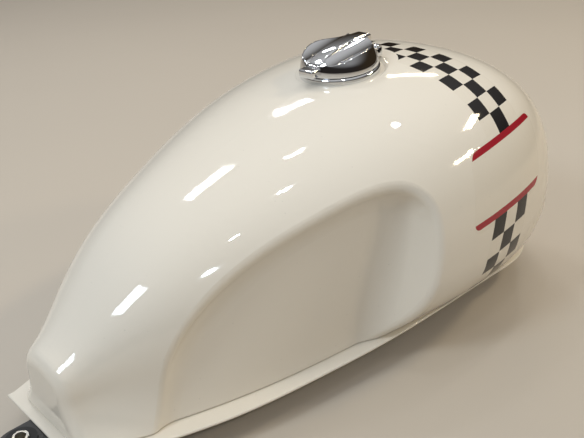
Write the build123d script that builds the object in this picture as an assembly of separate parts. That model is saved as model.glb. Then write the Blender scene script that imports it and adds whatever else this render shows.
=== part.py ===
from build123d import *
import os
from math import atan2, degrees

os.makedirs("parts", exist_ok=True)

# Motorcycle fuel tank assembly. X points forwards, Y to the left, Z up.
# Heights are written from the seam plane, where the shell meets its floor pan.
# Each piece is raised when it is saved, so that the origin is the middle of the rear bolt collar.

# Main shell: stations from the rear end to where the nose starts to close in.
# Columns: position, half width at the widest point, crown height, height of the widest point,
# half width at the seam.
STATIONS = [
    (24.0, 30.0, 58.0, 36.0, 51.0),
    (62.0, 49.5, 88.0, 44.0, 64.5),
    (122.3, 86.2, 133.9, 49.7, 85.7),
    (202.7, 122.9, 168.0, 58.7, 101.9),
    (288.1, 153.8, 193.9, 68.5, 113.0),
    (373.5, 167.7, 209.3, 71.8, 117.9),
    (453.9, 162.4, 211.8, 81.3, 121.0),
    (473.0, 156.8, 208.8, 82.7, 121.6),
]
CROWN_FLAT = 0.76
SHOULDER_FULL = 0.63
FLANK_TUCK = 0.54

# Nose: the section shrinks towards a narrow upright front face.
NOSE_TIP_X = 564.4
NOSE_STEPS = [0.30, 0.52, 0.70, 0.84, 0.93, 0.98, 0.998]
NOSE_PLAN_POWER = 2.3
NOSE_SIDE_POWER = 2.74
NOSE_CENTRE = 0.45
NOSE_NARROWING = 0.35
NOSE_DROOP = 0.27

# Knee recess, in side view: its outline well outside the shell and a smaller one well inside.
# The two are closer together at the front wall, so that wall is the steepest.
RECESS_OUTER_Y = 190.0
RECESS_OUTER = [
    [(-54.0, -6.0), (-46.0, 72.0), (67.0, 174.0), (188.0, 174.0)],
    [(188.0, 174.0), (228.0, 174.0), (312.0, 182.0), (309.5, 120.0)],
    [(309.5, 120.0), (308.0, 84.0), (300.0, 40.0), (292.0, -6.0)],
]
RECESS_INNER_Y = 50.0
RECESS_INNER = [
    [(86.0, -6.0), (94.0, 60.0), (124.0, 92.0), (206.0, 114.5)],
    [(206.0, 114.5), (236.0, 123.0), (284.0, 140.0), (282.0, 112.0)],
    [(282.0, 112.0), (280.0, 84.0), (274.0, 40.0), (262.0, -6.0)],
]
# Floor of the recess. Columns: position, half width at the seam, half width at the upper height.
RECESS_FLOOR = [
    (40.0, 46.0, -10.0),
    (125.0, 86.0, 70.0),
    (200.0, 100.0, 100.0),
    (330.0, 112.0, 127.0),
]
RECESS_FLOOR_UPPER_Z = 150.0
RECESS_FLOOR_ROUND = 28.0
RECESS_RIM_ROUND = 8.0
RECESS_MARGIN = 20.0
REAR_ROUND = 14.0
SEAM_ROUND = 1.5

# Tunnel for the frame's top tube.
TUNNEL_HALF_WIDTH = 38.0
TUNNEL_REAR_X = 74.0
TUNNEL_REAR_TOP = 24.0
TUNNEL_FRONT_TOP = 104.0
TUNNEL_ROUND = 16.0
TUNNEL_RUN_OUT = 10.0

# Seam flange and floor.
FLANGE_OUT = 8.0
FLANGE_THICK = 2.6
FLANGE_LIP = 1.2
SEAM_GAP = 0.3

# Filler: seat pressed into the crown, tilted with it. Heights are above the seat.
FILLER_X = 353.7
FILLER_SEAT_Z = 204.0
FILLER_TILT = 6.5
SEAT_RADIUS = 41.0
SEAT_FLARE_RADIUS = 54.0
SEAT_FLARE_RISE = 8.0
SEAT_FLARE_SHIFT = 5.0
SEAT_CLEAR = 40.0
NECK_OUTER = 29.0
NECK_INNER = 22.5
NECK_RISE = 8.6
NECK_DROP = 34.0
WELL_RADIUS = 29.3
WELL_DEPTH = 78.0

# Cap base ring and its hinge lugs.
RING_OUTER = 37.4
RING_NECK_GAP = 0.2
RING_HEIGHT = 8.0
RING_ROUND = 4.0
HINGE_X = 41.0
HINGE_Z = 11.0
HINGE_EYE = 4.0
HINGE_PIN = 2.0
HINGE_CLEAR = 0.05
HINGE_SIDE_GAP = 0.4
HINGE_PIN_PROUD = 1.0
LUG_INNER_Y = 8.0
LUG_OUTER_Y = 14.0
LUG_LOW = 4.0
LUG_LID_GAP = 1.0

# Cap lid: a bar from the thumb tab to the hinge, with a scoop on each side and a fluted skirt.
LID_RADIUS = 36.0
LID_GAP = 0.4
LID_REAR_TOP = 17.5
LID_FRONT_TOP = 26.5
LID_EDGE_ROUND = 1.5
LID_CAVITY_RADIUS = 32.0
LID_CAVITY_TOP = 11.6
SCOOP_RADIUS = 22.0
SCOOP_Y = 30.0
SCOOP_LOW = 14.0
SCOOP_YAW = 8.0
FLUTE_COUNT = 30
FLUTE_RADIUS = 5.0
FLUTE_DEPTH = 1.1
FLUTE_LOW = 1.5
FLUTE_HIGH = 6.0
TAB_WIDTH = 17.0
TAB_REACH = 45.0
TAB_ROUND = 2.0
TAB_STEP = 1.0
TAB_ROOT = 6.0
KNUCKLE_ROOT = 3.0
SEAL_RADIUS = 30.5
SEAL_THICK = 2.5

# Rear mounting.
COLLAR_BORE = 4.25
COLLAR_OUTER = 6.0
COLLAR_LENGTH = 18.0
GROMMET_OUTER = 12.0
GROMMET_WAIST = 9.5
GROMMET_HEIGHT = 14.0
BRACKET_THICK = 3.0
BRACKET_WIDTH = 40.0
BRACKET_FRONT_X = 66.0

# Front mounting channels, welded inside the tunnel, just below its roof's rounding.
CHANNEL_BACK = 66.4
CHANNEL_LENGTH = 42.0
CHANNEL_HEIGHT = 30.0
CHANNEL_DEPTH = 12.0
CHANNEL_WALL = 2.0

# Fuel pump and level sender on the underside.
PUMP_X = 330.0
PUMP_Y = 77.5
PUMP_RADIUS = 32.0
PUMP_THICK = 3.0
PUMP_RING_INNER = 23.0
PUMP_RING_OUTER = 36.0
PUMP_RING_THICK = 3.0
PUMP_NUT_CIRCLE = 29.5
PUMP_NUT_COUNT = 6
NUT_RADIUS = 4.6
NUT_HEIGHT = 4.0
STUD_RADIUS = 2.4
STUD_LENGTH = 8.0
SENDER_X = 300.0
SENDER_Y = -76.0
SENDER_RADIUS = 21.0
SENDER_THICK = 3.0
SENDER_PLUG_RADIUS = 9.0
SENDER_PLUG_DROP = 14.0
OUTLET_RADIUS = 4.0
OUTLET_LENGTH = 22.0
OUTLET_DROP = 16.0
OUTLET_BOSS = 14.0
OUTLET_X = -8.0
CONNECTOR_X = 10.0
CONNECTOR_SIZE = (12.0, 16.0, 14.0)

# Breather and drain pipes: position forwards and across.
PIPE_RADIUS = 3.0
PIPE_LENGTH = 20.0
PIPE_FOOT_RADIUS = 6.0
PIPE_FOOT_THICK = 2.0
PIPES = [
    ("breather_pipe", 150.0, -58.0),
    ("drain_pipe", 150.0, -74.0),
]


def section_wire(x, half, crown, wide_z, base):
    top = Bezier((x, 0, crown), (x, -CROWN_FLAT * half, crown),
                 (x, -half, wide_z + SHOULDER_FULL * (crown - wide_z)), (x, -half, wide_z))
    low = Bezier((x, -half, wide_z), (x, -half, wide_z * (1 - FLANK_TUCK)), (x, -base, 0))
    floor = Line((x, -base, 0), (x, base, 0))
    low_left = Bezier((x, base, 0), (x, half, wide_z * (1 - FLANK_TUCK)), (x, half, wide_z))
    top_left = Bezier((x, half, wide_z), (x, half, wide_z + SHOULDER_FULL * (crown - wide_z)),
                      (x, CROWN_FLAT * half, crown), (x, 0, crown))
    return Wire([top, low, floor, low_left, top_left])


def nose_wire(step):
    start_x, half, crown, wide_z, base = STATIONS[-1]
    x = start_x + step * (NOSE_TIP_X - start_x)
    half = half - NOSE_NARROWING * (x - start_x)
    crown = crown - NOSE_DROOP * (x - start_x)
    plan = (1 - step ** NOSE_PLAN_POWER) ** (1 / NOSE_PLAN_POWER)
    side = (1 - step ** NOSE_SIDE_POWER) ** (1 / NOSE_SIDE_POWER)
    centre = NOSE_CENTRE * crown
    return section_wire(x, half * plan, centre + (crown - centre) * side,
                        centre + (wide_z - centre) * side, base * plan)


def nose_seam(step):
    start_x, base = STATIONS[-1][0], STATIONS[-1][4]
    return start_x + step * (NOSE_TIP_X - start_x), base * (1 - step ** NOSE_PLAN_POWER) ** (1 / NOSE_PLAN_POWER)


def shell_blank():
    wires = [section_wire(*station) for station in STATIONS]
    wires += [nose_wire(step) for step in NOSE_STEPS]
    blank = Solid.make_loft(wires)
    rear_edges = blank.faces().sort_by(Axis.X)[0].edges()
    return fillet(rear_edges.filter_by(lambda edge: edge.center().Z > 1), REAR_ROUND)


def recess_wire(y, outline):
    edges = [Bezier(*[(px, y, pz) for px, pz in points]) for points in outline]
    edges.append(Line(edges[-1] @ 1, edges[0] @ 0))
    return Wire(edges)


def recess_floor_wire(z):
    share = z / RECESS_FLOOR_UPPER_Z
    points = [(x, -(low + share * (high - low)), z) for x, low, high in RECESS_FLOOR]
    rear_far = (points[0][0], -RECESS_OUTER_Y - RECESS_MARGIN, z)
    front_far = (points[-1][0], -RECESS_OUTER_Y - RECESS_MARGIN, z)
    return Wire([Bezier(*points), Line(points[-1], front_far), Line(front_far, rear_far), Line(rear_far, points[0])])


def recess_cutter():
    well = Solid.make_loft([recess_wire(-RECESS_OUTER_Y, RECESS_OUTER), recess_wire(-RECESS_INNER_Y, RECESS_INNER)],
                           ruled=True)
    highest = max(z for points in RECESS_OUTER for x, z in points) + RECESS_MARGIN
    outside = Solid.make_loft([recess_floor_wire(-RECESS_MARGIN), recess_floor_wire(highest)], ruled=True)
    cutter = well & outside
    floor_edges = cutter.faces().sort_by(Axis.Y)[-1].edges()
    return fillet(floor_edges.filter_by(lambda edge: edge.center().Z > 0), RECESS_FLOOR_ROUND)


def rim_edges(body, outer, cutters):
    """Edges that the cutters have made in the outer skin."""
    skin = outer.faces()
    walls = [face for cutter in cutters for face in cutter.faces()]

    def touches(edge, faces):
        spots = [Vertex(*(edge @ t)) for t in (0.2, 0.5, 0.8)]
        return all(min(face.distance_to(spot) for face in faces) < 0.05 for spot in spots)

    raised = body.edges().filter_by(lambda edge: edge.center().Z > 2)
    return [edge for edge in raised if touches(edge, walls) and touches(edge, skin)]


def tilted(shape):
    return Pos(FILLER_X, 0, FILLER_SEAT_Z) * Rot(0, -FILLER_TILT, 0) * shape


def slab(low, high):
    size = [b - a for a, b in zip(low, high)]
    return Pos(*low) * Box(*size, align=(Align.MIN, Align.MIN, Align.MIN))


def rod(radius, length, centre):
    return Pos(*centre) * Rot(90, 0, 0) * Cylinder(radius, length)


def tube(inner, outer, low, high):
    height = high - low
    base = (Align.CENTER, Align.CENTER, Align.MIN)
    return Pos(0, 0, low) * (Cylinder(outer, height, align=base) - Cylinder(inner, height, align=base))


def disc(radius, low, high):
    return Pos(0, 0, low) * Cylinder(radius, high - low, align=(Align.CENTER, Align.CENTER, Align.MIN))


def save(name, shape):
    export_step(Pos(0, 0, -collar_mid) * shape, "parts/" + name + ".step")


def seam_edge(spread):
    """The shell's outline at the seam, moved outwards, from the rear to the nose on the left side."""
    points = [(x, base) for x, half, crown, wide_z, base in STATIONS]
    points += [nose_seam(step) for step in NOSE_STEPS]
    moved = []
    for index, (x, y) in enumerate(points):
        before = points[max(index - 1, 0)]
        after = points[min(index + 1, len(points) - 1)]
        run, rise = after[0] - before[0], after[1] - before[1]
        size = (run * run + rise * rise) ** 0.5
        moved.append((x - spread * rise / size, y + spread * run / size))
    return moved


floor_top = -SEAM_GAP
floor_bottom = floor_top - FLANGE_THICK
collar_mid = floor_bottom - BRACKET_THICK / 2

# Shell.
blank = shell_blank()
cut = recess_cutter()
below = -RECESS_MARGIN
tunnel_end = NOSE_TIP_X + TUNNEL_RUN_OUT
tunnel_side = Polygon((TUNNEL_REAR_X, below), (tunnel_end, below), (tunnel_end, TUNNEL_FRONT_TOP),
                      (TUNNEL_REAR_X, TUNNEL_REAR_TOP), align=None)
tunnel = extrude(Plane.XZ * tunnel_side, TUNNEL_HALF_WIDTH, both=True)
roof_sides = [edge for edge in tunnel.edges()
              if edge.center().Z > TUNNEL_REAR_TOP and abs(edge.center().Y) > TUNNEL_HALF_WIDTH / 2]
tunnel = fillet(roof_sides, TUNNEL_ROUND)
flare = Pos(SEAT_FLARE_SHIFT, 0, SEAT_FLARE_RISE) * Circle(SEAT_FLARE_RADIUS)
seat = loft([Circle(SEAT_RADIUS), flare])
seat += extrude(flare, SEAT_CLEAR)
recesses = [cut, mirror(cut, Plane.XZ)]
shell = blank - recesses
shell = fillet(rim_edges(shell, blank, recesses), RECESS_RIM_ROUND)
shell = fillet(shell.faces().sort_by(Axis.Z)[0].outer_wire().edges(), SEAM_ROUND)
shell = shell - tilted(seat) - tilted(disc(WELL_RADIUS, -WELL_DEPTH, 1)) - tunnel
save("tank_shell", shell)

# Floor pan with the seam flange round it.
left_edge = Spline(*seam_edge(FLANGE_OUT))
rear, front = left_edge @ 0, left_edge @ 1
rear_x = STATIONS[0][0] - FLANGE_OUT
front_x = NOSE_TIP_X + FLANGE_OUT
pan_half = make_face([left_edge, Line(front, (front_x, front.Y)), Line((front_x, front.Y), (front_x, 0)),
                      Line((front_x, 0), (rear_x, 0)), Line((rear_x, 0), (rear_x, rear.Y)),
                      Line((rear_x, rear.Y), rear)])
pan_half = Pos(0, 0, floor_bottom) * pan_half
pan = extrude(pan_half, FLANGE_THICK)
pan = pan + mirror(pan, Plane.XZ)
pan = fillet(pan.edges().filter_by(Plane.XY), FLANGE_LIP)
pan = pan - slab((TUNNEL_REAR_X, -TUNNEL_HALF_WIDTH, below), (tunnel_end, TUNNEL_HALF_WIDTH, -below))
save("floor_pan", pan)

# Rear bracket, grommet and collar.
bracket_low = floor_bottom - BRACKET_THICK
bracket = disc(BRACKET_WIDTH / 2, bracket_low, floor_bottom)
bracket += slab((0, -BRACKET_WIDTH / 2, bracket_low), (BRACKET_FRONT_X, BRACKET_WIDTH / 2, floor_bottom))
bracket -= disc(GROMMET_WAIST, bracket_low - 1, floor_bottom + 1)
save("rear_bracket", bracket)
grommet = tube(COLLAR_OUTER, GROMMET_OUTER, collar_mid - GROMMET_HEIGHT / 2, collar_mid + GROMMET_HEIGHT / 2)
grommet -= tube(GROMMET_WAIST, GROMMET_OUTER + 1, bracket_low, floor_bottom)
save("rear_grommet", grommet)
save("rear_collar", tube(COLLAR_BORE, COLLAR_OUTER, collar_mid - COLLAR_LENGTH / 2, collar_mid + COLLAR_LENGTH / 2))

# Front channels, open towards the nose and the tunnel's middle.
channel_x = NOSE_TIP_X - CHANNEL_BACK
roof_slope = (TUNNEL_FRONT_TOP - TUNNEL_REAR_TOP) / (tunnel_end - TUNNEL_REAR_X)
channel_top = TUNNEL_REAR_TOP + roof_slope * (channel_x - TUNNEL_REAR_X) - TUNNEL_ROUND
channel_low = channel_top - CHANNEL_HEIGHT
for side, name in ((1, "left"), (-1, "right")):
    outer_y = TUNNEL_HALF_WIDTH * side
    inner_y = (TUNNEL_HALF_WIDTH - CHANNEL_DEPTH) * side
    low_y, high_y = sorted((outer_y, inner_y))
    channel = slab((channel_x, low_y, channel_low), (channel_x + CHANNEL_LENGTH, high_y, channel_top))
    web_y = (TUNNEL_HALF_WIDTH - CHANNEL_WALL) * side
    low_y, high_y = sorted((web_y, inner_y - side))
    channel = channel - slab((channel_x + CHANNEL_WALL, low_y, channel_low + CHANNEL_WALL),
                             (channel_x + CHANNEL_LENGTH + 1, high_y, channel_top - CHANNEL_WALL))
    save("front_channel_" + name, channel)

# Fuel pump plate, clamp ring, nuts, connector and outlet.
pump_at = Pos(PUMP_X, PUMP_Y, 0)
plate_low = floor_bottom - PUMP_THICK
ring_low = plate_low - PUMP_RING_THICK
save("pump_plate", pump_at * disc(PUMP_RADIUS, plate_low, floor_bottom))
save("pump_clamp_ring", pump_at * tube(PUMP_RING_INNER, PUMP_RING_OUTER, ring_low, plate_low))
for index in range(PUMP_NUT_COUNT):
    nut = extrude(RegularPolygon(NUT_RADIUS, 6), NUT_HEIGHT) + disc(STUD_RADIUS, 0, STUD_LENGTH)
    nut = Rot(0, 0, index * 360 / PUMP_NUT_COUNT) * Pos(PUMP_NUT_CIRCLE, 0, ring_low) * Rot(180, 0, 0) * nut
    save("pump_nut_" + str(index + 1), pump_at * nut)
outlet_z = plate_low - OUTLET_DROP
half_boss = OUTLET_BOSS / 2
outlet = slab((OUTLET_X - half_boss, -half_boss, outlet_z - half_boss), (OUTLET_X + half_boss, half_boss, plate_low))
outlet += Pos(OUTLET_X, 0, outlet_z) * Rot(0, -90, 0) * disc(OUTLET_RADIUS, 0, half_boss + OUTLET_LENGTH)
save("fuel_outlet", pump_at * outlet)
connector = Pos(CONNECTOR_X, 0, plate_low) * Box(*CONNECTOR_SIZE, align=(Align.CENTER, Align.CENTER, Align.MAX))
save("pump_connector", pump_at * connector)
sender = disc(SENDER_RADIUS, floor_bottom - SENDER_THICK, floor_bottom)
sender += disc(SENDER_PLUG_RADIUS, floor_bottom - SENDER_PLUG_DROP, floor_bottom - SENDER_THICK)
save("level_sender", Pos(SENDER_X, SENDER_Y, 0) * sender)
for name, pipe_x, pipe_y in PIPES:
    pipe = disc(PIPE_RADIUS, floor_bottom - PIPE_LENGTH, floor_bottom)
    pipe += disc(PIPE_FOOT_RADIUS, floor_bottom - PIPE_FOOT_THICK, floor_bottom)
    save(name, Pos(pipe_x, pipe_y, 0) * pipe)

# Filler neck, cap base ring with hinge lugs, hinge pin.
save("filler_neck", tilted(tube(NECK_INNER, NECK_OUTER, -NECK_DROP, NECK_RISE)))
ring = tube(NECK_OUTER + RING_NECK_GAP, RING_OUTER, 0, RING_HEIGHT)
ring = fillet(ring.edges().group_by(Axis.Z)[-1].sort_by(SortBy.RADIUS)[-1], RING_ROUND)
eye_front = HINGE_X + HINGE_EYE
ring_middle = (RING_OUTER + NECK_OUTER) / 2
for side in (1, -1):
    low_y, high_y = sorted((LUG_INNER_Y * side, LUG_OUTER_Y * side))
    ring += slab((ring_middle, low_y, LUG_LOW), (eye_front, high_y, RING_HEIGHT - LID_GAP))
    ring += slab((LID_RADIUS + LUG_LID_GAP, low_y, LUG_LOW), (eye_front, high_y, HINGE_Z))
    lug_middle = (LUG_INNER_Y + LUG_OUTER_Y) / 2 * side
    ring += rod(HINGE_EYE, LUG_OUTER_Y - LUG_INNER_Y, (HINGE_X, lug_middle, HINGE_Z))
ring -= rod(HINGE_PIN, 4 * LUG_OUTER_Y, (HINGE_X, 0, HINGE_Z))
save("cap_base_ring", tilted(ring))
pin = rod(HINGE_PIN, 2 * (LUG_OUTER_Y + HINGE_PIN_PROUD), (HINGE_X, 0, HINGE_Z))
save("cap_hinge_pin", tilted(pin))

# Lid.
lid_low = RING_HEIGHT + LID_GAP
lid_high = 2 * LID_FRONT_TOP
lid = disc(LID_RADIUS, lid_low, lid_high)
slope = degrees(atan2(LID_FRONT_TOP - LID_REAR_TOP, 2 * LID_RADIUS))
top_frame = Pos(0, 0, (LID_FRONT_TOP + LID_REAR_TOP) / 2) * Rot(0, -slope, 0)
reach = 2 * LID_RADIUS
lid -= top_frame * slab((-reach, -reach, 0), (reach, reach, lid_high))
for side in (1, -1):
    scoop = Pos(0, SCOOP_Y * side, SCOOP_LOW + SCOOP_RADIUS) * Rot(0, 0, SCOOP_YAW * side) * Rot(0, 90, 0)
    lid -= scoop * Cylinder(SCOOP_RADIUS, 2 * reach)
lid = fillet(lid.edges().filter_by(lambda edge: edge.center().Z > SCOOP_LOW), LID_EDGE_ROUND)
for index in range(FLUTE_COUNT):
    flute = Pos(LID_RADIUS + FLUTE_RADIUS - FLUTE_DEPTH, 0, 0) * disc(FLUTE_RADIUS, lid_low + FLUTE_LOW,
                                                                     SCOOP_LOW + FLUTE_HIGH)
    lid -= Rot(0, 0, (index + 0.5) * 360 / FLUTE_COUNT) * flute
tab = slab((-TAB_REACH, -TAB_WIDTH / 2, lid_low + TAB_STEP),
           (-LID_RADIUS + TAB_ROOT, TAB_WIDTH / 2, LID_REAR_TOP - TAB_STEP))
lid += fillet(tab.faces().sort_by(Axis.X)[0].edges(), TAB_ROUND)
knuckle = LUG_INNER_Y - HINGE_SIDE_GAP
lid -= disc(LID_CAVITY_RADIUS, lid_low, LID_CAVITY_TOP)
lid += slab((LID_RADIUS - KNUCKLE_ROOT, -knuckle, lid_low + LID_GAP), (HINGE_X, knuckle, HINGE_Z + HINGE_EYE))
lid += rod(HINGE_EYE, 2 * knuckle, (HINGE_X, 0, HINGE_Z))
lid -= rod(HINGE_PIN + HINGE_CLEAR, 4 * LUG_OUTER_Y, (HINGE_X, 0, HINGE_Z))
save("cap_lid", tilted(lid))
save("cap_seal", tilted(disc(SEAL_RADIUS, LID_CAVITY_TOP - SEAL_THICK, LID_CAVITY_TOP)))
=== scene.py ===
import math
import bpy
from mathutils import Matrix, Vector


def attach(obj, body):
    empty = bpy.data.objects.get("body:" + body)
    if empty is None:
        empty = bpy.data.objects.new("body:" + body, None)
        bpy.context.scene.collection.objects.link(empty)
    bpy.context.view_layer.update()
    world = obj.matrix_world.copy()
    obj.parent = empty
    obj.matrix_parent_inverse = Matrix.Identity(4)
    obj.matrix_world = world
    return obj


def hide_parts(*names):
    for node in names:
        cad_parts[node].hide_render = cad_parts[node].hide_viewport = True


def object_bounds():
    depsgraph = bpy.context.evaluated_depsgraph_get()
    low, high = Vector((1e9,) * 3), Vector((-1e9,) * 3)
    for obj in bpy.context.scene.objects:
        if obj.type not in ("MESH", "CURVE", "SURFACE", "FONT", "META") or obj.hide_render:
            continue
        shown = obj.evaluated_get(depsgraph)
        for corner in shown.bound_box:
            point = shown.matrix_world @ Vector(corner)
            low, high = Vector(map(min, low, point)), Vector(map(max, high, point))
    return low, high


bl_info = {
    "name": "Motorcycle Fuel Tank",
    "version": (1, 0, 0),
    "blender": (4, 5, 0),
    "location": "3D View > Sidebar > Fuel Tank",
    "description": "Paint, chrome, fittings and a plain studio for a motorcycle fuel tank",
    "category": "Add Mesh",
}

from functools import partial
from itertools import product

import bmesh
import bpy
from bpy.props import FloatProperty, FloatVectorProperty, PointerProperty
from mathutils import Matrix, Vector, geometry

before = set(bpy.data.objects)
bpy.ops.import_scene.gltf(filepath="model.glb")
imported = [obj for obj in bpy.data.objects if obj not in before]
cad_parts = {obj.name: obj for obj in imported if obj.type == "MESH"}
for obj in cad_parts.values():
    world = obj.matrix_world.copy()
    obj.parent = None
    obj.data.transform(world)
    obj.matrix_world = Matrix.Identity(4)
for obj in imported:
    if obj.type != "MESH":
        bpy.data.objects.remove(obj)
cad_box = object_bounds()


# Sizes and colours a user would change.

def colour_setting(name, description, default):
    return FloatVectorProperty(name=name, description=description, default=default,
                               subtype="COLOR", size=3, min=0, max=1)


def length_setting(name, description, default, low, high):
    return FloatProperty(name=name, description=description, default=default, min=low, max=high,
                         unit="LENGTH", precision=4)


class PaintSettings(bpy.types.PropertyGroup):
    cream: colour_setting("Cream", "Main paint colour", (0.82, 0.762, 0.665))
    black: colour_setting("Black", "Colour of the dark squares", (0.012, 0.010, 0.010))
    red: colour_setting("Red", "Colour of the two bars on each side", (0.36, 0.014, 0.026))
    square_length: length_setting("Square length", "Size of a square along the tank", 0.0165, 0.005, 0.04)
    band_start: length_setting("Band start", "Where the band's rear edge meets the lower side",
                               0.3577, 0.2, 0.5)
    band_lean: FloatProperty(name="Band lean", description="How far the band leans forward on its way up",
                             default=math.radians(14.7), min=0, max=math.radians(45), subtype="ANGLE")
    bar_width: length_setting("Bar width", "Width of a red bar", 0.006, 0.001, 0.02)


class ChromeSettings(bpy.types.PropertyGroup):
    tint: colour_setting("Tint", "Colour of the chrome", (0.80, 0.81, 0.83))


class StudioSettings(bpy.types.PropertyGroup):
    floor_colour: colour_setting("Floor", "Colour of the floor", (0.53, 0.475, 0.405))
    backdrop: colour_setting("Backdrop", "Colour seen behind the floor", (0.47, 0.42, 0.355))
    sky_strength: FloatProperty(name="Sky strength", description="Strength of the even light all round",
                                default=0.33, min=0, max=5)
    key_power: FloatProperty(name="Key power", description="Power of the main softbox",
                             default=7.2, min=0, subtype="POWER")


# Small helpers for node trees.

MIX_INPUTS, MIX_RESULT = (0, 6, 7), 2  # the Mix node's sockets for colours: factor, two colours, result


def add_node(tree, kind, **values):
    node = tree.nodes.new(kind)
    for name, value in values.items():
        setattr(node, name, value)
    return node


def feed(tree, sockets, values):
    """Links each socket to another one, or gives it a colour or a number."""
    for socket, value in zip(sockets, values):
        if isinstance(value, bpy.types.NodeSocket):
            tree.links.new(value, socket)
        elif isinstance(value, tuple):
            socket.default_value = (*value, 1.0)
        else:
            socket.default_value = value


def calc(tree, operation, *values):
    node = add_node(tree, "ShaderNodeMath", operation=operation)
    feed(tree, node.inputs, values)
    return node.outputs[0]


def ramp(tree, value, low, high, first=0.0, last=1.0, smooth=False):
    """Takes a value from between low and high to between first and last, and holds it there outside them."""
    node = add_node(tree, "ShaderNodeMapRange", interpolation_type="SMOOTHSTEP" if smooth else "LINEAR")
    feed(tree, node.inputs, (value, low, high, first, last))
    return node.outputs[0]


def mix_colour(tree, *values):
    node = add_node(tree, "ShaderNodeMix", data_type="RGBA")
    feed(tree, (node.inputs[index] for index in MIX_INPUTS), values)
    return node.outputs[MIX_RESULT]


def tones(colour, share):
    """A colour, and its darkest tone as a share of it."""
    return tuple(colour), tuple(part * share for part in colour)


def new_group(name, inputs, outputs):
    group = bpy.data.node_groups.new(name, "ShaderNodeTree")
    for label, default, low, high in inputs:
        socket = group.interface.new_socket(name=label, in_out="INPUT", socket_type="NodeSocketFloat")
        socket.default_value, socket.min_value, socket.max_value = default, low, high
    for label in outputs:
        group.interface.new_socket(name=label, in_out="OUTPUT", socket_type="NodeSocketFloat")
    return group, add_node(group, "NodeGroupInput").outputs, add_node(group, "NodeGroupOutput").inputs


def use_group(tree, name, build, *values):
    """Adds the group of that name, which is built at its first use, with values for its inputs."""
    group = bpy.data.node_groups.get(name) or build()
    node = add_node(tree, "ShaderNodeGroup", node_tree=group)
    feed(tree, node.inputs, values)
    return node.outputs


def new_material(name, roughness, metallic=0.0):
    material = bpy.data.materials.new(name)
    material.use_nodes = True
    tree = material.node_tree
    shader = tree.nodes["Principled BSDF"]
    shader.inputs["Roughness"].default_value = roughness
    shader.inputs["Metallic"].default_value = metallic
    return material, tree, shader


def connect(tree, shader, base, roughness, height):
    """Gives the shader its colour, its roughness, and a bump whose height is in metres."""
    tree.links.new(base, shader.inputs["Base Color"])
    tree.links.new(roughness, shader.inputs["Roughness"])
    bump = add_node(tree, "ShaderNodeBump")
    bump.inputs["Strength"].default_value = 1.0
    bump.inputs["Distance"].default_value = 1.0
    tree.links.new(height, bump.inputs["Height"])
    tree.links.new(bump.outputs[0], shader.inputs["Normal"])


# Effects that several materials share.

SPECK_CORE, SPECK_EDGE = 0.05, 0.16  # a speck fades out between these shares of its cell


def mottle_group():
    inputs = [("Scale", 30.0, 0.1, 5000.0), ("Detail", 3.0, 0.0, 12.0)]
    group, given, out = new_group("Mottle", inputs, ["Value"])
    place = add_node(group, "ShaderNodeTexCoord").outputs["Object"]
    noise = add_node(group, "ShaderNodeTexNoise")
    for socket, value in (("Vector", place), ("Scale", given["Scale"]), ("Detail", given["Detail"])):
        group.links.new(value, noise.inputs[socket])
    group.links.new(noise.outputs[0], out["Value"])
    return group


def speck_group():
    inputs = [("Scale", 200.0, 1.0, 5000.0), ("Share", 0.1, 0.0, 1.0)]
    group, given, out = new_group("Specks", inputs, ["Value"])
    place = add_node(group, "ShaderNodeTexCoord").outputs["Object"]
    cells = add_node(group, "ShaderNodeTexVoronoi")
    group.links.new(place, cells.inputs["Vector"])
    group.links.new(given["Scale"], cells.inputs["Scale"])
    split = add_node(group, "ShaderNodeSeparateColor")
    group.links.new(cells.outputs["Color"], split.inputs[0])
    chosen = calc(group, "LESS_THAN", split.outputs[0], given["Share"])
    spot = ramp(group, cells.outputs["Distance"], SPECK_CORE, SPECK_EDGE, 1.0, 0.0)
    group.links.new(calc(group, "MULTIPLY", chosen, spot), out["Value"])
    return group


def mottle(tree, scale, detail):
    """Slow or fine unevenness over a surface, from 0 to 1."""
    return use_group(tree, "Mottle", mottle_group, scale, detail)[0]


def specks(tree, scale, share):
    """Small separate specks of dust or of worn-off plating, 1 on a speck and 0 elsewhere."""
    return use_group(tree, "Specks", speck_group, scale, share)[0]


# The painted band, in metres.

BAND_HALF = 1.5  # half the band's width, in squares
BAND_KNEE_Z = 0.074  # below this height the band stands upright
GIRTH_CENTRE_Z = 0.1  # rows are counted by the angle about this height
ROW_PER_DEGREE = 0.128  # rows to a degree at the crown
ROW_GROWTH = 0.00022  # and how much that grows with each degree
LOWER_ROW_SHIFT = 0.2  # the lower squares sit this many rows further on
LAST_UPPER_ROW = 8.99  # the last row above the panel, which runs on to the upper bar
FIRST_LOWER_ROW = 13.0  # the first row below the panel
ROW_SLIP = 0.0165  # degrees that a row drops per column, for each degree from the crown
ROW_SLIP_LIMIT = 0.85
PANEL_ANGLE = 75.3  # middle of the bare panel between the bars, in degrees from the crown
PANEL_DEGREE = 0.002865  # metres to a degree there
PANEL_OFFSET = -0.003  # panel's middle from the band's middle
BAR_HALF_LENGTH = 0.0483
BAR_MIDDLE = 0.0297  # middle of a bar from the panel's middle
BAR_CORNER = 0.008
FILM_HALF_LENGTH = 0.0503  # the clear film reaches a little beyond the bars
FILM_MARGIN = 0.0038
FILM_CORNER = 0.012
FILM_EDGE = 0.0004  # its edge slopes down over this width
STRIP_MARGIN = 0.0015  # and this far beyond the squares
INNER_HALF_WIDTH = 0.0385  # the tunnel and the filler's well lie within this half width
INNER_TOP = 0.17  # and below this height, and stay plain
DISH_CUT = ((0.362, 0.0555), (0.0, 0.0427))  # middle and half width of the cut for the filler, on X and Y
DISH_LOW = 0.15  # the cut for the filler is only above this height


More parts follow.
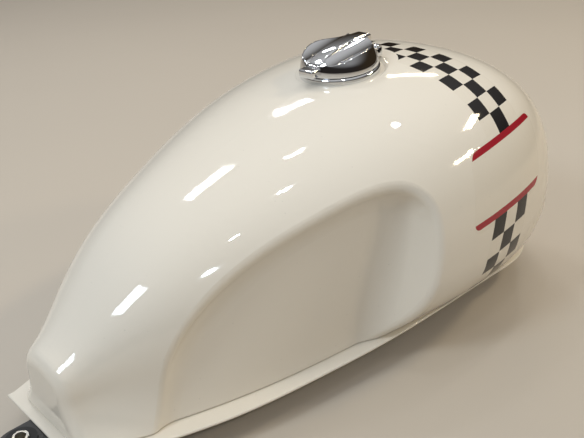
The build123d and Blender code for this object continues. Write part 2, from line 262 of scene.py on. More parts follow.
def rounded_distance(do, across, up, half_width, half_height, radius):
    """Distance outside a rounded rectangle, negative inside it."""
    over = [do("MAXIMUM", do("ADD", do("ABSOLUTE", value), radius - half), 0.0)
            for value, half in ((across, half_width), (up, half_height))]
    squares = do("ADD", do("MULTIPLY", over[0], over[0]), do("MULTIPLY", over[1], over[1]))
    return do("SUBTRACT", do("SQRT", squares), radius)


def painted_place(do, x, y, z):
    """1 on the shell's outside, 0 in the tunnel, in the filler's well and in the cut round the filler."""
    squares = []
    for place, (middle, half) in zip((x, y), DISH_CUT):
        part = do("DIVIDE", do("SUBTRACT", place, middle), half)
        squares.append(do("MULTIPLY", part, part))
    dish = do("SQRT", do("ADD", *squares))
    beside_dish = do("MAXIMUM", do("GREATER_THAN", dish, 1.0), do("LESS_THAN", z, DISH_LOW))
    outside = do("MAXIMUM", do("GREATER_THAN", do("ABSOLUTE", y), INNER_HALF_WIDTH),
                 do("GREATER_THAN", z, INNER_TOP))
    return do("MULTIPLY", beside_dish, outside)


def band_group(paint):
    """Band of squares three wide, a bar above and below a bare panel on each side, and a clear film."""
    group, _, out = new_group("Checker Band", [], ["Black", "Red", "Film"])
    do = partial(calc, group)
    split = add_node(group, "ShaderNodeSeparateXYZ")
    group.links.new(add_node(group, "ShaderNodeTexCoord").outputs["Object"], split.inputs[0])
    x, y, z = split.outputs
    square, half_bar = paint.square_length, paint.bar_width / 2

    climb = do("MAXIMUM", do("SUBTRACT", z, BAND_KNEE_Z), 0.0)
    lean = do("MULTIPLY", climb, math.tan(paint.band_lean))
    along = do("SUBTRACT", do("SUBTRACT", x, paint.band_start), lean)
    column = do("DIVIDE", along, square)
    from_middle = do("SUBTRACT", column, BAND_HALF)
    across = do("ABSOLUTE", from_middle)

    turn = do("ARCTAN2", do("MULTIPLY", y, -1.0), do("SUBTRACT", z, GIRTH_CENTRE_Z))
    angle = do("DEGREES", turn)
    steep = do("ABSOLUTE", angle)
    slip = do("MINIMUM", do("MULTIPLY", steep, ROW_SLIP), ROW_SLIP_LIMIT)
    level = do("MULTIPLY_ADD", slip, from_middle, steep)
    row = do("MULTIPLY", level, do("MULTIPLY_ADD", level, ROW_GROWTH, ROW_PER_DEGREE))
    upper_row = do("MINIMUM", row, LAST_UPPER_ROW)
    lower_row = do("MAXIMUM", do("ADD", row, LOWER_ROW_SHIFT), FIRST_LOWER_ROW)
    row = ramp(group, do("GREATER_THAN", level, PANEL_ANGLE), 0.0, 1.0, upper_row, lower_row)
    row = do("MULTIPLY", row, do("SIGN", angle))
    odd = do("FLOORED_MODULO", do("ADD", do("FLOOR", column), do("FLOOR", row)), 2.0)

    up = do("MULTIPLY", do("SUBTRACT", level, PANEL_ANGLE), PANEL_DEGREE)
    up_size = do("ABSOLUTE", up)
    beside = do("SUBTRACT", do("MULTIPLY", from_middle, square), PANEL_OFFSET)
    painted = painted_place(do, x, y, z)

    black = do("MULTIPLY", odd, do("LESS_THAN", across, BAND_HALF))
    black = do("MULTIPLY", black, do("GREATER_THAN", up_size, BAR_MIDDLE))
    group.links.new(do("MULTIPLY", black, painted), out["Black"])

    ends = rounded_distance(do, beside, up, BAR_HALF_LENGTH, BAR_MIDDLE + half_bar, BAR_CORNER)
    beyond_panel = do("GREATER_THAN", up_size, BAR_MIDDLE - half_bar)
    group.links.new(do("MULTIPLY", do("LESS_THAN", ends, 0.0), beyond_panel), out["Red"])

    film_half_height = BAR_MIDDLE + half_bar + FILM_MARGIN
    panel = rounded_distance(do, beside, up, FILM_HALF_LENGTH, film_half_height, FILM_CORNER)
    strip = do("SUBTRACT", do("MULTIPLY", across, square), BAND_HALF * square + STRIP_MARGIN)
    film = ramp(group, do("MINIMUM", panel, strip), -FILM_EDGE, 0.0, 1.0, 0.0)
    group.links.new(do("MULTIPLY", film, painted), out["Film"])
    return group


# Finishes. Waves, grains and heights are in metres, and a share says how much of a colour comes in.

PEEL_HEIGHT, FILM_HEIGHT = 3.5e-6, 6e-5
PAINT_SHADE, PAINT_IOR = 0.96, 1.52
PAINT_WIPE, PAINT_GLOSS = (0.35, 0.75), (0.035, 0.085)  # mottle, and the roughness it turns into
FILM_TINT, FILM_SHARE = (0.62, 0.55, 0.42), 0.10
PAINT_DUST, PAINT_DUST_SHARE, DUST_ROUGHNESS = (0.35, 0.32, 0.28), 0.35, 0.3
CHROME_SHADE, CHROME_WAVE = 0.93, 4e-6
CHROME_SMEAR, CHROME_GLOSS = (0.4, 0.72), (0.015, 0.09)
ZINC_PATCH, ZINC_WARM, ZINC_COOL = (0.35, 0.65), (0.62, 0.56, 0.42), (0.58, 0.60, 0.62)
ZINC_DULL, ZINC_DULL_SHARE = (0.42, 0.40, 0.37), 0.5
ZINC_ROUGHNESS, ZINC_GRAIN = (0.28, 0.16), 1e-5  # roughness gained over a patch, and its least
DARK_DUST, DARK_DUST_SHARE = (0.30, 0.28, 0.25), 0.15
DARK_ROUGHNESS = 0.2  # how much the roughness varies over a dark finish
BLACK_RUBBER = ((0.012, 0.012, 0.012), (0.03, 0.03, 0.03))
DARK_FINISHES = {  # darkest and palest tone, roughness, height of the grain
    "seal_rubber": (*BLACK_RUBBER, 0.7, 4e-5),
    "grommet_rubber": (*BLACK_RUBBER, 0.75, 5e-5),
    "bracket_black": ((0.015, 0.015, 0.016), (0.03, 0.03, 0.03), 0.4, 1e-5),
    "moulded_plastic": ((0.014, 0.014, 0.015), (0.025, 0.025, 0.026), 0.5, 3e-5),
}


def cream_paint(name, paint, banded=False):
    """Gloss paint with the faint waviness of a sprayed coat and a little dust."""
    material, tree, shader = new_material(name, PAINT_GLOSS[1])
    base = mix_colour(tree, mottle(tree, 6.0, 2.0), *tones(paint.cream, PAINT_SHADE))
    height = calc(tree, "MULTIPLY", mottle(tree, 190.0, 1.5), PEEL_HEIGHT)
    if banded:
        marks = use_group(tree, "Checker Band", partial(band_group, paint))
        base = mix_colour(tree, calc(tree, "MULTIPLY", marks["Film"], FILM_SHARE), base, FILM_TINT)
        base = mix_colour(tree, marks["Black"], base, tuple(paint.black))
        base = mix_colour(tree, marks["Red"], base, tuple(paint.red))
        height = calc(tree, "MULTIPLY_ADD", marks["Film"], FILM_HEIGHT, height)
    dust = specks(tree, 260.0, 0.05)
    base = mix_colour(tree, calc(tree, "MULTIPLY", dust, PAINT_DUST_SHARE), base, PAINT_DUST)
    gloss = ramp(tree, mottle(tree, 14.0, 4.0), *PAINT_WIPE, *PAINT_GLOSS)
    gloss = calc(tree, "MULTIPLY_ADD", dust, DUST_ROUGHNESS, gloss)
    shader.inputs["IOR"].default_value = PAINT_IOR
    connect(tree, shader, base, gloss, height)
    return material


def chrome_finish(chrome):
    """Mirror plating with finger smears and a faint polish wave."""
    material, tree, shader = new_material("mirror_chrome", CHROME_GLOSS[1], metallic=1.0)
    smear = mottle(tree, 55.0, 5.0)
    base = mix_colour(tree, smear, *tones(chrome.tint, CHROME_SHADE))
    gloss = ramp(tree, smear, *CHROME_SMEAR, *CHROME_GLOSS)
    connect(tree, shader, base, gloss, calc(tree, "MULTIPLY", mottle(tree, 120.0, 1.0), CHROME_WAVE))
    return material


def plated_finish():
    """Bright zinc with yellowish and bluish patches, and dull specks."""
    material, tree, shader = new_material("zinc_plate", sum(ZINC_ROUGHNESS), metallic=1.0)
    patch = mottle(tree, 60.0, 5.0)
    tone = mix_colour(tree, ramp(tree, patch, *ZINC_PATCH), ZINC_WARM, ZINC_COOL)
    dull = specks(tree, 420.0, 0.16)
    base = mix_colour(tree, calc(tree, "MULTIPLY", dull, ZINC_DULL_SHARE), tone, ZINC_DULL)
    rough = calc(tree, "MULTIPLY_ADD", patch, *ZINC_ROUGHNESS)
    connect(tree, shader, base, rough, calc(tree, "MULTIPLY", mottle(tree, 900.0, 3.0), ZINC_GRAIN))
    return material


def dark_finish(name):
    """Dark rubber, plastic or satin paint, with a fine grain and a little pale dust."""
    low, high, roughness, grain = DARK_FINISHES[name]
    material, tree, shader = new_material(name, roughness)
    patch = mottle(tree, 70.0, 4.0)
    base = mix_colour(tree, patch, low, high)
    dust = specks(tree, 500.0, 0.12)
    base = mix_colour(tree, calc(tree, "MULTIPLY", dust, DARK_DUST_SHARE), base, DARK_DUST)
    rough = calc(tree, "MULTIPLY_ADD", patch, DARK_ROUGHNESS, roughness - DARK_ROUGHNESS / 2)
    connect(tree, shader, base, rough, calc(tree, "MULTIPLY", mottle(tree, 1400.0, 2.0), grain))
    return material


def dress(material, *nodes):
    """Gives CAD nodes their material, on the object, so that their meshes stay as they are."""
    for name in nodes:
        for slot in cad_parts[name].material_slots:
            slot.link = "OBJECT"
            slot.material = material


# Small helpers for meshes, which are in millimetres until add_piece places them.

MM = Matrix.Scale(0.001, 4)
NEAR = 0.01  # vertices this close count as level with each other
JOIN_DISTANCE = 1e-5
SHARP_ANGLE = math.radians(35.0)


def lathe(form, outline, steps, ring=False):
    """Spins an outline of radius and height about the Z axis, where it starts and ends if it is no ring."""
    verts = [form.verts.new((radius, 0.0, height)) for radius, height in outline]
    pairs = list(zip(verts, verts[1:])) + ([(verts[-1], verts[0])] if ring else [])
    edges = [form.edges.new(pair) for pair in pairs]
    bmesh.ops.spin(form, geom=verts + edges, axis=(0, 0, 1), angle=math.tau, steps=steps, use_merge=True)
    if not ring:
        bmesh.ops.remove_doubles(form, verts=form.verts, dist=JOIN_DISTANCE)
        bmesh.ops.dissolve_degenerate(form, edges=form.edges, dist=JOIN_DISTANCE)


def round_off(form, edges, radius, segments=4, affect="EDGES"):
    bmesh.ops.bevel(form, geom=list(edges), offset=radius, segments=segments, profile=0.5,
                    affect=affect, offset_type="OFFSET", material=-1)


def inner_edges(verts):
    """Edges whose two ends are both among the vertices."""
    chosen = set(verts)
    return {edge for vert in chosen for edge in vert.link_edges if edge.other_vert(vert) in chosen}


def edges_along(verts, axis):
    """Edges among the vertices that run along an axis, and not across it."""
    return {edge for edge in inner_edges(verts)
            if abs(edge.verts[0].co[axis] - edge.verts[1].co[axis]) > NEAR}


def block(form, low, high):
    """Box between two corners; gives its vertices."""
    size = [b - a for a, b in zip(low, high)]
    middle = [(a + b) / 2 for a, b in zip(low, high)]
    place = Matrix.Translation(middle) @ Matrix.Diagonal((*size, 1.0))
    return bmesh.ops.create_cube(form, size=1.0, matrix=place)["verts"]


def soft_block(form, low, high, radius, segments=2):
    """Box with rounded edges."""
    round_off(form, inner_edges(block(form, low, high)), radius, segments)


def drum(form, radius, length, place, sides):
    """Cylinder or prism about the place's Z axis; gives its vertices."""
    return bmesh.ops.create_cone(form, cap_ends=True, segments=sides, radius1=radius, radius2=radius,
                                 depth=length, matrix=place)["verts"]


def hexagon(form, radius, length, height, chamfer):
    """Nut about the Z axis, with its corners taken off; the height is its middle's."""
    made = drum(form, radius, length, Matrix.Translation((0, 0, height)), 6)
    round_off(form, made, chamfer, 2, "VERTICES")


def round_place(radius, share, height):
    """Place on a circle about the Z axis, a share of the way round."""
    return Vector((radius * math.cos(math.tau * share), radius * math.sin(math.tau * share), height))


def down_from(place):
    """Turns a piece over, so that its heights count downwards from the place."""
    return Matrix.Translation(place) @ Matrix.Rotation(math.pi, 4, "X")


def finish_mesh(name, form):
    mesh = bpy.data.meshes.new(name)
    form.to_mesh(mesh)
    form.free()
    return mesh


def put_in_scene(name, data):
    item = bpy.data.objects.new(name, data)
    bpy.context.scene.collection.objects.link(item)
    return item


def merge(form, part):
    mesh = finish_mesh("part", part)
    form.from_mesh(mesh)
    bpy.data.meshes.remove(mesh)


def add_piece(name, form, place, material, body, slot, *replaced):
    bmesh.ops.transform(form, matrix=place, verts=form.verts)
    bmesh.ops.recalc_face_normals(form, faces=form.faces)
    mesh = finish_mesh(name, form)
    mesh.shade_smooth()
    mesh.set_sharp_from_angle(angle=SHARP_ANGLE)
    mesh.materials.append(material)
    piece = put_in_scene(name, mesh)
    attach(piece, body)
    if replaced:
        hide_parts(*replaced)


# Filler cap, in its own frame: X towards the hinge, heights above the seat.

CAP_PLACE = Matrix.Translation((0.3537, 0.0, 0.2084)) @ Matrix.Rotation(math.radians(-6.5), 4, "Y") @ MM
RING_INNER, RING_OUTER, RING_TOP, RING_ROUND, RING_STEPS = 29.2, 37.4, 5.6, 2.6, 8
LID_RADIUS, LID_FOOT, LID_WALL, CAVITY_TOP = 36.0, 6.0, 4.0, 11.6
LID_STEP = 7.5  # the side stands upright from the foot to here
LID_LEAN = (13.0, 10.5, 8.5)  # how the side then rises and draws in along its curve
ARCH = ((-37.1, 0.0, 15.0), (-19.8, 0.0, 26.3), (5.0, 0.0, 29.3), (38.2, 0.0, 25.8))
ARCH_CURVE = geometry.interpolate_bezier(*ARCH, 80)
BAR_HALF, BAR_REAR, BAR_FRONT, BAR_PROUD, BAR_ROUND = 7.6, -33.0, 37.5, 1.2, 2.0
BAR_BLANK = 4.0  # height of the bar before it is bent to the arch
SCOOP_RADIUS, SCOOP_Y, SCOOP_FLOOR = 22.0, 20.0, 20.2
SCOOP_YAW, SCOOP_PITCH = math.radians(4.0), math.radians(6.0)
RIM_ROUND, FOOT_ROUND, TAB_ROUND, HINGE_ROUND = 0.9, 0.5, 2.0, 0.4
TAB = ((-45.0, -8.5, 7.6), (-30.0, 8.5, 15.2))
HINGE_AT = (41.0, 0.0, 11.0)
HINGE_EYE = 4.0
KNUCKLE_LENGTH = (BAR_HALF - 0.1) * 2
KNUCKLE_GAP = 0.4  # knuckle's lower side above the lid's foot
LUG_Y, LUG_REAR, LUG_LOW = (8.0, 14.0), LID_RADIUS + 1.0, 3.0
SIDE_ROWS, TOP_ROWS, LID_TURNS = 24, 60, 240
BAR_CUTS = 48
RIM_PASSES = 30  # the rim's radius settles within these passes
TURN_DIGITS = 5
SEAL_PLATE = (  # radius and height, from the lid's side to the vent button's end
    (0.0, 9.1), (19.0, 9.1), (19.0, 8.6), (18.4, 8.3), (14.0, 8.3), (12.6, 7.6),
    (8.5, 7.6), (7.8, 8.0), (5.0, 8.0), (4.4, 6.8), (3.6, 6.2), (0.0, 6.0))
SEAL_SCREWS, SEAL_SCREW_CIRCLE, SEAL_SCREW_HEIGHT = 3, 10.6, 7.1
SEAL_SCREW_RADIUS, SEAL_SCREW_THICK, SEAL_SCREW_ROUND = 1.8, 1.2, 0.5


def arch_height(x):
    """Height of the bar's crest."""
    for a, b in zip(ARCH_CURVE, ARCH_CURVE[1:]):
        if x <= b.x:
            break
    return a.z + (b.z - a.z) * (x - a.x) / (b.x - a.x)


def lid_top(x, y):
    """Height of the lid beside its bar: the arch, hollowed by a scoop on each side."""
    across = (abs(y) - SCOOP_Y - x * math.tan(SCOOP_YAW)) * math.cos(SCOOP_YAW)
    height = arch_height(x) - BAR_PROUD
    if abs(across) < SCOOP_RADIUS:
        floor = SCOOP_FLOOR + x * math.tan(SCOOP_PITCH)
        height = min(height, floor + SCOOP_RADIUS - math.sqrt(SCOOP_RADIUS ** 2 - across ** 2))
    return height


def side_radius(height):
    """Radius of the lid's side, which draws in towards the top."""
    rise, gain, inset = LID_LEAN
    share = (math.sqrt(rise ** 2 + 4 * gain * max(height - LID_STEP, 0.0)) - rise) / (2 * gain)
    return LID_RADIUS - inset * share ** 2


def rim_radius(turn):
    """Radius at which the lid's side meets its top."""
    radius = LID_RADIUS
    for _ in range(RIM_PASSES):
        radius = side_radius(lid_top(radius * math.cos(turn), radius * math.sin(turn)))
    return radius


def shape_lid(form):
    """Moves the rows of a plain drum on to the lid's side and top."""
    rims = {}
    for vert in form.verts:
        x, y, height = vert.co
        radius, turn = math.hypot(x, y), round(math.atan2(y, x), TURN_DIGITS)
        on_side = radius > LID_RADIUS - NEAR and height > LID_FOOT
        on_top = height > LID_FOOT + SIDE_ROWS - NEAR
        if not (on_side or on_top):
            continue
        if turn not in rims:
            rims[turn] = rim_radius(turn)
        rim = rims[turn]
        if on_top:
            radius *= rim / LID_RADIUS
            height = lid_top(radius * math.cos(turn), radius * math.sin(turn))
        else:
            full = lid_top(rim * math.cos(turn), rim * math.sin(turn)) - LID_FOOT
            height = LID_FOOT + (height - LID_FOOT) / SIDE_ROWS * full
            radius = side_radius(height)
        vert.co = (radius * math.cos(turn), radius * math.sin(turn), height)


def lid_form():
    """Hollow lid with its arched bar, thumb tab and hinge knuckle."""
    form = bmesh.new()
    inner, drum_top = LID_RADIUS - LID_WALL, LID_FOOT + SIDE_ROWS
    outline = [(0.0, CAVITY_TOP), (inner, CAVITY_TOP), (inner, LID_FOOT)]
    outline += [(LID_RADIUS, LID_FOOT + row) for row in range(SIDE_ROWS + 1)]
    outline += [(LID_RADIUS * (1 - row / TOP_ROWS), drum_top) for row in range(1, TOP_ROWS + 1)]
    lathe(form, outline, LID_TURNS)
    outer = [vert for vert in form.verts if math.hypot(*vert.co.xy) > LID_RADIUS - NEAR]
    rim = inner_edges(vert for vert in outer if vert.co.z > drum_top - NEAR)
    foot = inner_edges(vert for vert in outer if vert.co.z < LID_FOOT + NEAR)
    shape_lid(form)
    round_off(form, rim, RIM_ROUND)
    round_off(form, foot, FOOT_ROUND)

    merge(form, bar_form())
    soft_block(form, *TAB, TAB_ROUND, 5)
    half = KNUCKLE_LENGTH / 2
    soft_block(form, (inner, -half, LID_FOOT + KNUCKLE_GAP), (HINGE_AT[0], half, HINGE_AT[2] + HINGE_EYE),
               HINGE_ROUND)
    add_eye(form, 0.0, KNUCKLE_LENGTH)
    return form


def bar_form():
    """Bar across the lid, bent to the arch."""
    form = bmesh.new()
    verts = block(form, (BAR_REAR, -BAR_HALF, CAVITY_TOP), (BAR_FRONT, BAR_HALF, CAVITY_TOP + BAR_BLANK))
    bmesh.ops.subdivide_edges(form, edges=list(edges_along(verts, 0)), cuts=BAR_CUTS)
    crest = [vert for vert in form.verts if vert.co.z > CAVITY_TOP + BAR_BLANK / 2]
    for vert in crest:
        vert.co.z = arch_height(vert.co.x)
    form.normal_update()
    border = [edge for edge in inner_edges(crest)
              if not all(face.normal.z > 0.5 for face in edge.link_faces)]
    round_off(form, border, BAR_ROUND, 6)
    return form


def add_eye(form, y, length):
    """Round eye about the hinge's pin."""
    place = Matrix.Translation((HINGE_AT[0], y, HINGE_AT[2])) @ Matrix.Rotation(math.pi / 2, 4, "X")
    made = drum(form, HINGE_EYE, length, place, 40)
    round_off(form, inner_edges(made) - edges_along(made, 1), HINGE_ROUND, 2)


def ring_form():
    """Ring round the filler, with two hinge lugs."""
    form = bmesh.new()
    turns = [math.pi / 2 * step / RING_STEPS for step in range(RING_STEPS + 1)]
    corner = [(RING_OUTER - RING_ROUND + RING_ROUND * math.cos(turn),
               RING_TOP - RING_ROUND + RING_ROUND * math.sin(turn)) for turn in turns]
    lathe(form, [(RING_INNER, 0.0), (RING_OUTER, 0.0), *corner, (RING_INNER, RING_TOP)], 160, ring=True)
    for side in (1, -1):
        low, high = sorted(y * side for y in LUG_Y)
        soft_block(form, (LUG_REAR, low, LUG_LOW), (HINGE_AT[0] + HINGE_EYE, high, HINGE_AT[2]), HINGE_ROUND)
        add_eye(form, (low + high) / 2, high - low)
    return form


def seal_plate_form():
    """Pressed plate that holds the seal, with a vent button in its middle and three screws."""
    form = bmesh.new()
    lathe(form, SEAL_PLATE, 72)
    for index in range(SEAL_SCREWS):
        place = Matrix.Translation(round_place(SEAL_SCREW_CIRCLE, index / SEAL_SCREWS, SEAL_SCREW_HEIGHT))
        made = drum(form, SEAL_SCREW_RADIUS, SEAL_SCREW_THICK, place, 24)
        low = [vert for vert in made if vert.co.z < SEAL_SCREW_HEIGHT]
        round_off(form, inner_edges(low), SEAL_SCREW_ROUND, 3)
    return form


# Mountings and underside.

FLOOR_UNDER, PLATE_UNDER, CLAMP_UNDER = 1.5, -1.5, -4.5  # heights of the faces that pieces hang from
SUNK = 0.3  # how far a small form goes into the one that carries it

PUMP_AT = Vector((330.0, 77.5, 0.0))
NUT_COUNT, NUT_CIRCLE, NUT_RADIUS, NUT_TOP, NUT_CHAMFER = 6, 29.5, 4.6, 4.0, 0.55
WASHER_RADIUS, WASHER_THICK, WASHER_CHAMFER = 5.4, 0.8, 0.2
STUD_RADIUS, STUD_LENGTH, STUD_FOOT, STUD_CHAMFER = 2.4, 8.0, 0.5, 0.4
THREAD_PITCH, THREAD_DEPTH, THREAD_START, THREAD_STEPS = 0.8, 0.4, 0.1, 24

BARB_STEP, BARB_PROUD, BARB_LAND = 2.8, 0.55, 0.3
TIP_LENGTH, TIP_CHAMFER = 0.6, 0.4
PIPE_AT = {"breather_pipe": (150.0, -58.0), "drain_pipe": (150.0, -74.0)}
PIPE_RADIUS, PIPE_BORE, PIPE_LENGTH, PIPE_BARBS = 3.0, 2.0, 20.0, 3
FOOT_RADIUS, FOOT_THICK, FOOT_CHAMFER = 6.0, 2.0, 0.5
BRAZE = ((0.9, 0.0), (0.2, 0.4), (0.0, 1.1))  # outline beyond the pipe's radius and above its foot

OUTLET_AT = Vector((322.0, 77.5, -17.5))
OUTLET_BOSS, OUTLET_RADIUS, OUTLET_BORE, OUTLET_TIP, OUTLET_BARBS = 7.0, 4.0, 2.7, 29.0, 4
OUTLET_ROOT, OUTLET_ROUND = 2.0, 2.2
COLLAR_PROUD, COLLAR_END, COLLAR_CHAMFER = 1.2, 5.0, 0.6
HEX_RADIUS, HEX_LENGTH, HEX_MIDDLE, HEX_CHAMFER = 6.6, 3.4, 1.9, 0.6
OUTLET_FLANGE = ((0.0, 0.0), (10.0, 0.0), (10.0, 1.2), (9.4, 1.8), (0.0, 1.8))  # radius and height

CONNECTOR = ((334.0, 69.5, -15.5), (346.0, 85.5, -1.5))
CONNECTOR_WALL, CONNECTOR_DEPTH, CONNECTOR_ROUND = 1.4, 9.0, 1.6
LATCH_HALF, LATCH_PROUD, LATCH_MARGIN = 3.0, 1.3, 3.0
HOOK_HALF, HOOK_PROUD, HOOK_LOW, HOOK_HIGH = 2.0, 2.0, 3.2, 5.0
GUIDE_Y, GUIDE_HALF, GUIDE_PROUD, GUIDE_LOW, GUIDE_HIGH = 5.6, 0.6, 0.7, 0.6, 1.0
BASE_PROUD, BASE_THICK = 1.2, 1.6
LATCH_ROUND, GUIDE_ROUND, BASE_ROUND = 0.4, 0.3, 0.5

BLADE_HALF_WIDTH, BLADE_HALF_THICK, BLADE_ROUND = 1.4, 0.4, 0.15
BLADE_SET_BACK, BLADE_ROOT = 2.0, 10.0  # a blade's tip and root, upwards from the socket's mouth
CONNECTOR_BLADES, CONNECTOR_BLADE_STEP = 4, 3.2
SENDER_BLADES, SENDER_BLADE_STEP = 2, 4.0

SENDER_AT = Vector((300.0, -76.0, 0.0))
SENDER_RADIUS, SENDER_THICK, SENDER_CHAMFER = 21.0, 3.0, 0.8
GROOVE = ((14.4, 0.0), (14.0, 0.6), (12.6, 0.6), (12.2, 0.0))  # radius and depth
PLUG_RADIUS, PLUG_DROP, PLUG_ROUND, PLUG_WALL, PLUG_FLOOR = 9.0, 14.0, 0.5, 1.8, 5.0
PLUG_FILLET, MOUTH_CHAMFER = 1.0, 0.4
RIB_COUNT, RIB_PROUD, RIB_HALF, RIB_END, RIB_ROUND = 12, 0.6, 0.5, 9.0, 0.25
SCREW_COUNT, SCREW_CIRCLE, SCREW_TURN = 5, 17.2, 0.25
SCREW_HEAD = ((0.0, 0.0), (2.6, 0.0), (2.6, 0.7), (2.3, 1.3), (1.6, 1.7), (0.0, 1.9))  # radius and height

WELD_RADIUS, WELD_RIPPLE, WELD_TURNS = 1.5, 1.5, 12
WELD_START = (0.6, 0.1)  # share of the bead's radius, and of a ripple's length
WELD_CREST, WELD_DIP = (1.0, 0.35), (0.8, 0.95)
BRACKET_WELD_X, BRACKET_WELD_Y, BRACKET_WELD_Z = ((20.0, 36.0), (46.0, 62.0)), 20.4, 0.9
BRACKET_FRONT_X, BRACKET_FRONT_HALF = 66.4, 12.0
CHANNEL_WELD_X, CHANNEL_WELD_Y, CHANNEL_WELD_Z = ((501.0, 514.0), (524.0, 537.0)), 37.2, (80.6, 49.8)


def nut_form():
    """Washer, chamfered nut and threaded stud end, upwards from the clamp ring."""
    form = bmesh.new()
    lathe(form, [(STUD_RADIUS, 0.0), (WASHER_RADIUS, 0.0), (WASHER_RADIUS, WASHER_THICK - WASHER_CHAMFER),
                 (WASHER_RADIUS - WASHER_CHAMFER, WASHER_THICK), (STUD_RADIUS, WASHER_THICK)], 36, ring=True)
    hexagon(form, NUT_RADIUS, NUT_TOP - WASHER_THICK, (NUT_TOP + WASHER_THICK) / 2, NUT_CHAMFER)
    core = STUD_RADIUS - THREAD_DEPTH
    lathe(form, [(0.0, STUD_FOOT), (core, STUD_FOOT), (core, STUD_LENGTH - STUD_CHAMFER),
                 (core - STUD_CHAMFER, STUD_LENGTH), (0.0, STUD_LENGTH)], THREAD_STEPS)
    turns = int((STUD_LENGTH - NUT_TOP) / THREAD_PITCH) - 1
    start = NUT_TOP + THREAD_START
    profile = ((core, start), (STUD_RADIUS, start + THREAD_PITCH / 2), (core, start + THREAD_PITCH))
    ridge = [form.verts.new((radius, 0.0, height)) for radius, height in profile]
    edges = [form.edges.new(pair) for pair in zip(ridge, ridge[1:])]
    bmesh.ops.spin(form, geom=ridge + edges, axis=(0, 0, 1), dvec=(0, 0, THREAD_PITCH / THREAD_STEPS),
                   angle=math.tau * turns, steps=THREAD_STEPS * turns)
    return form


def barbs(radius, tip, count):
    """Outline of a barbed hose end that ends at the tip; each barb tapers towards it."""
    outline = []
    for index in range(count):
        start = tip - TIP_LENGTH - (count - index) * BARB_STEP
        outline += [(radius, start), (radius + BARB_PROUD, start), (radius + BARB_PROUD, start + BARB_LAND)]
    return outline + [(radius, tip - TIP_LENGTH), (radius - TIP_CHAMFER, tip)]


def pipe_form():
    """Barbed pipe on a round foot, downwards from the floor."""
    form = bmesh.new()
    braze = [(PIPE_RADIUS + out, FOOT_THICK + up) for out, up in BRAZE]
    lathe(form, [(0.0, 0.0), (FOOT_RADIUS, 0.0), (FOOT_RADIUS, FOOT_THICK - FOOT_CHAMFER),
                 (FOOT_RADIUS - FOOT_CHAMFER, FOOT_THICK), *braze,
                 *barbs(PIPE_RADIUS, PIPE_LENGTH, PIPE_BARBS), (PIPE_BORE, PIPE_LENGTH),
                 (PIPE_BORE, FOOT_THICK), (0.0, FOOT_THICK)], 40)
    return form


def outlet_form():
    """Cast elbow under the pump plate, with a hexagon and a barbed stub towards the rear."""
    form = bmesh.new()
    collar, collar_end = OUTLET_RADIUS + COLLAR_PROUD, OUTLET_BOSS + COLLAR_END
    lathe(form, [(0.0, OUTLET_ROOT), (collar, OUTLET_ROOT), (collar, collar_end - COLLAR_CHAMFER),
                 (collar - COLLAR_CHAMFER, collar_end), (OUTLET_RADIUS, collar_end),
                 *barbs(OUTLET_RADIUS, OUTLET_TIP, OUTLET_BARBS), (OUTLET_BORE, OUTLET_TIP),
                 (OUTLET_BORE, OUTLET_BOSS), (0.0, OUTLET_BOSS)], 48)
    hexagon(form, HEX_RADIUS, HEX_LENGTH, OUTLET_BOSS + HEX_MIDDLE, HEX_CHAMFER)
    place = Matrix.Translation(OUTLET_AT) @ Matrix.Rotation(-math.pi / 2, 4, "Y")
    bmesh.ops.transform(form, matrix=place, verts=form.verts)
    x, y, z = OUTLET_AT
    soft_block(form, (x - OUTLET_BOSS, y - OUTLET_BOSS, z - OUTLET_BOSS),
               (x + OUTLET_BOSS, y + OUTLET_BOSS, PLATE_UNDER), OUTLET_ROUND, 5)
    flange = bmesh.new()
    lathe(flange, OUTLET_FLANGE, 48)
    bmesh.ops.transform(flange, matrix=down_from((x, y, PLATE_UNDER)), verts=flange.verts)
    merge(form, flange)
    return form


def connector_form():
    """Moulded plug socket that opens downwards, with its base, a latch and two guides."""
    low, high = CONNECTOR
    form = bmesh.new()
    round_off(form, edges_along(block(form, low, high), 2), CONNECTOR_ROUND)
    form.normal_update()
    mouth = min(form.faces, key=lambda face: face.calc_center_median().z)
    bmesh.ops.inset_region(form, faces=[mouth], thickness=CONNECTOR_WALL)
    pushed = bmesh.ops.extrude_discrete_faces(form, faces=[mouth])["faces"]
    sunk = list({vert for face in pushed for vert in face.verts})
    bmesh.ops.translate(form, vec=(0, 0, CONNECTOR_DEPTH), verts=sunk)

    middle = (low[1] + high[1]) / 2
    soft_block(form, (high[0] - SUNK, middle - LATCH_HALF, low[2] + LATCH_MARGIN),
               (high[0] + LATCH_PROUD, middle + LATCH_HALF, high[2] - LATCH_MARGIN), LATCH_ROUND)
    soft_block(form, (high[0] - SUNK, middle - HOOK_HALF, low[2] + HOOK_LOW),
               (high[0] + HOOK_PROUD, middle + HOOK_HALF, low[2] + HOOK_HIGH), LATCH_ROUND)
    for y in (middle - GUIDE_Y, middle + GUIDE_Y):
        soft_block(form, (low[0] - GUIDE_PROUD, y - GUIDE_HALF, low[2] + GUIDE_LOW),
                   (low[0] + SUNK, y + GUIDE_HALF, high[2] - GUIDE_HIGH), GUIDE_ROUND)
    soft_block(form, (low[0] - BASE_PROUD, low[1] - BASE_PROUD, high[2] - BASE_THICK),
               (high[0] + BASE_PROUD, high[1] + BASE_PROUD, high[2]), BASE_ROUND, 3)
    return form


def blade_form(middle, mouth, step, count):
    """Row of flat terminals inside a socket."""
    form = bmesh.new()
    for index in range(count):
        y = middle.y + (index - (count - 1) / 2) * step
        soft_block(form, (middle.x - BLADE_HALF_WIDTH, y - BLADE_HALF_THICK, mouth + BLADE_SET_BACK),
                   (middle.x + BLADE_HALF_WIDTH, y + BLADE_HALF_THICK, mouth + BLADE_ROOT), BLADE_ROUND, 1)
    return form


